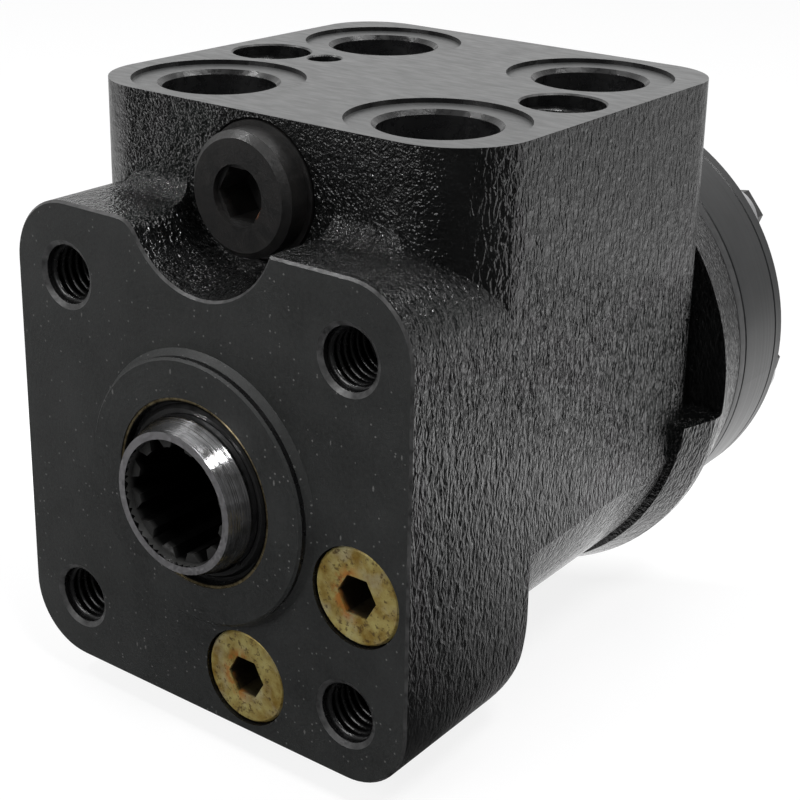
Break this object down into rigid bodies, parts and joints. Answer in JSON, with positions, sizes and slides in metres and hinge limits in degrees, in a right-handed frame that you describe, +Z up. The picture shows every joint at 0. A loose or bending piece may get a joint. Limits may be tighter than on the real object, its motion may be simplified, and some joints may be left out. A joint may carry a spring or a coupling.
{
  "type": "orbital steering unit",
  "caption": "Hydrostatic steering unit: a splined rotary valve in a ported cast housing, with a gerotor metering set bolted to its back.",
  "frame": {"origin": "on the shaft axis in the machined front face of the column flange, at the centre of its four tapped holes", "axes": "+Y backwards along the shaft axis, from the column flange to the end cover; +Z up, through the port face; +X to the right, as seen from the steering column"},
  "size_m": [0.0914, 0.1342, 0.104],
  "materials": {
    "housing_paint": "gloss black paint on a sand casting; the machined faces are satin",
    "cover_paint": "gloss black paint",
    "ring_black": "satin black on turned steel",
    "plate_steel": "satin dark grey on ground steel",
    "screw_black": "black oxide",
    "copper": "satin copper sealing washer",
    "seal_case": "pressed steel",
    "rubber": "matt black",
    "plug_black": "satin black oxide",
    "washer_zinc": "dull zinc bonded washer",
    "plug_yellow": "yellow-passivated zinc plating, stained",
    "spool_steel": "polished steel",
    "inner_steel": "ground steel",
    "bearing_steel": "polished steel",
    "cage_steel": "pressed steel",
    "spring_steel": "oiled spring steel"
  },
  "bodies": {
    "body": {"housing": "housing_paint", "dust_seal_case": "seal_case", "dust_seal": "rubber", "shaft_seal": "rubber", "bearing_race_front": "bearing_steel", "distributor_plate": "plate_steel", "gerotor_ring": "ring_black", "end_cover": "cover_paint", "cover_washers": "copper", "cover_screws": "screw_black", "o_rings": "rubber", "relief_plug": "plug_black", "relief_washer": "washer_zinc", "relief_adjuster": "inner_steel", "relief_spring": "spring_steel", "shock_plug_1": "plug_yellow", "shock_plug_2": "plug_yellow", "shock_spring_1": "spring_steel", "shock_spring_2": "spring_steel", "check_bush": "inner_steel", "suction_pin_1": "inner_steel", "suction_pin_2": "inner_steel"},
    "sleeve": {"sleeve": "inner_steel", "cross_pin": "bearing_steel", "spring_band": "spring_steel", "centring_springs": "spring_steel", "bearing_race_back": "bearing_steel"},
    "spool": {"spool": "spool_steel"},
    "cage": {"bearing_cage": "cage_steel", "bearing_needles": "bearing_steel"},
    "orbit": {"spacer": "inner_steel"},
    "star": {"gerotor_star": "inner_steel"},
    "cardan": {"cardan_shaft": "inner_steel"},
    "relief_poppet": {"relief_poppet": "inner_steel"},
    "shock_ball_1": {"shock_ball_1": "bearing_steel"},
    "shock_ball_2": {"shock_ball_2": "bearing_steel"},
    "suction_ball_1": {"suction_ball_1": "bearing_steel"},
    "suction_ball_2": {"suction_ball_2": "bearing_steel"},
    "check_ball": {"check_ball": "bearing_steel"}
  },
  "joints": [
    {"name": "sleeve_turn", "type": "hinge", "parent": "body", "child": "sleeve", "pos_m": [0, 0, 0], "axis": [0, 1, 0], "continuous": true},
    {"name": "spool_deflection", "type": "hinge", "parent": "sleeve", "child": "spool", "pos_m": [0, 0, 0], "axis": [0, 1, 0], "range_deg": [-10, 10], "stiffness_Nm_per_rad": 0.5, "deforming": ["centring_springs"]},
    {"name": "cage_turn", "type": "hinge", "parent": "body", "child": "cage", "pos_m": [0, 0, 0], "axis": [0, 1, 0], "continuous": true},
    {"name": "orbit", "type": "hinge", "parent": "body", "child": "orbit", "pos_m": [0, 0, 0], "axis": [0, 1, 0], "continuous": true},
    {"name": "star_turn", "type": "hinge", "parent": "orbit", "child": "star", "pos_m": [0, 0.112, -0.00375], "axis": [0, 1, 0], "continuous": true},
    {"name": "cardan_turn", "type": "hinge", "parent": "orbit", "child": "cardan", "pos_m": [0, 0.038, 0], "axis": [0, 0.9987, -0.0506], "continuous": true},
    {"name": "relief_open", "type": "slide", "parent": "body", "child": "relief_poppet", "axis": [0, -1, 0], "range_m": [0, 0.0015], "stiffness_N_per_m": 500, "springref_m": -0.001, "deforming": ["relief_spring"]},
    {"name": "shock_open_1", "type": "slide", "parent": "body", "child": "shock_ball_1", "axis": [0, -1, 0], "range_m": [0, 0.0012], "stiffness_N_per_m": 200, "springref_m": -0.001, "deforming": ["shock_spring_1"]},
    {"name": "shock_open_2", "type": "slide", "parent": "body", "child": "shock_ball_2", "axis": [0, -1, 0], "range_m": [0, 0.0012], "stiffness_N_per_m": 200, "springref_m": -0.001, "deforming": ["shock_spring_2"]},
    {"name": "suction_open_1", "type": "slide", "parent": "body", "child": "suction_ball_1", "axis": [0, 1, 0], "range_m": [0, 0.0012]},
    {"name": "suction_open_2", "type": "slide", "parent": "body", "child": "suction_ball_2", "axis": [0, 1, 0], "range_m": [0, 0.0012]},
    {"name": "check_lift", "type": "slide", "parent": "body", "child": "check_ball", "axis": [0, 0, 1], "range_m": [0, 0.0016]}
  ],
  "couplings": [
    {"joint": "cage_turn", "follows": "sleeve_turn", "ratio": 0.5},
    {"joint": "orbit", "follows": "sleeve_turn", "ratio": -6},
    {"joint": "star_turn", "follows": "sleeve_turn", "ratio": 7},
    {"joint": "cardan_turn", "follows": "sleeve_turn", "ratio": 7}
  ]
}
